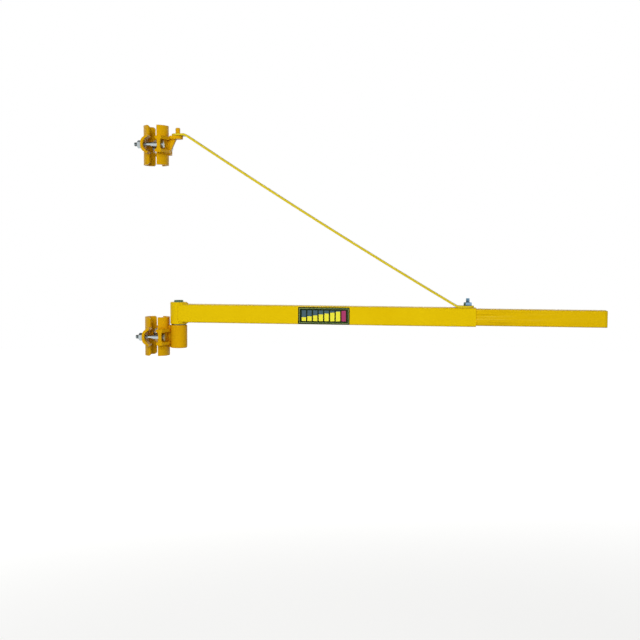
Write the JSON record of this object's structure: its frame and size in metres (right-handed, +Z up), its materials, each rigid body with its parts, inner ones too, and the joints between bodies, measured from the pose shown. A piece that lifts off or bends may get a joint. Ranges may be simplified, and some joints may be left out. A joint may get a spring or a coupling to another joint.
{
  "type": "telescopic hoist arm",
  "caption": "Telescopic swing arm that carries a cable hoist: square tubes on a hinged bracket, a flat tie to an upper bracket, and both brackets clamp a round post.",
  "frame": {"origin": "on the clamped post's axis, at half height of the lower clamp", "axes": "+Z up along the post, +X out along the arm at rest, +Y across the arm"},
  "size_m": [1.1435, 0.1, 0.572],
  "materials": {
    "yellow_paint": "satin",
    "zinc_steel": "zinc plated",
    "pin_steel": "turned, bare"
  },
  "bodies": {
    "brackets": {"lower_saddle": "yellow_paint", "lower_clamp_ears": "yellow_paint", "lower_counter_plate": "yellow_paint", "lower_bolt_front": "zinc_steel", "lower_bolt_back": "zinc_steel", "lower_washer_front": "zinc_steel", "lower_washer_back": "zinc_steel", "lower_nut_front": "zinc_steel", "lower_nut_back": "zinc_steel", "socket_web": "yellow_paint", "hinge_socket": "yellow_paint", "hinge_pin": "pin_steel", "thrust_washer": "pin_steel", "upper_saddle": "yellow_paint", "upper_clamp_ears": "yellow_paint", "upper_counter_plate": "yellow_paint", "upper_bolt_front": "zinc_steel", "upper_bolt_back": "zinc_steel", "upper_washer_front": "zinc_steel", "upper_washer_back": "zinc_steel", "upper_nut_front": "zinc_steel", "upper_nut_back": "zinc_steel", "peg_lug": "yellow_paint", "lug_gusset": "yellow_paint", "tie_peg": "yellow_paint"},
    "arm": {"pivot_sleeve": "yellow_paint", "outer_tube": "yellow_paint", "tie_bar": "yellow_paint", "clamp_screw": "zinc_steel", "clamp_nut": "zinc_steel"},
    "extension": {"inner_tube": "yellow_paint", "end_cap": "yellow_paint"}
  },
  "joints": [
    {"name": "arm_swing", "type": "hinge", "parent": "brackets", "child": "arm", "pos_m": [0.056, 0, 0], "axis": [0, 0, 1], "range_deg": [-90, 90]},
    {"name": "extension_slide", "type": "slide", "parent": "arm", "child": "extension", "axis": [-1, 0, 0], "range_m": [0, 0.3]}
  ]
}
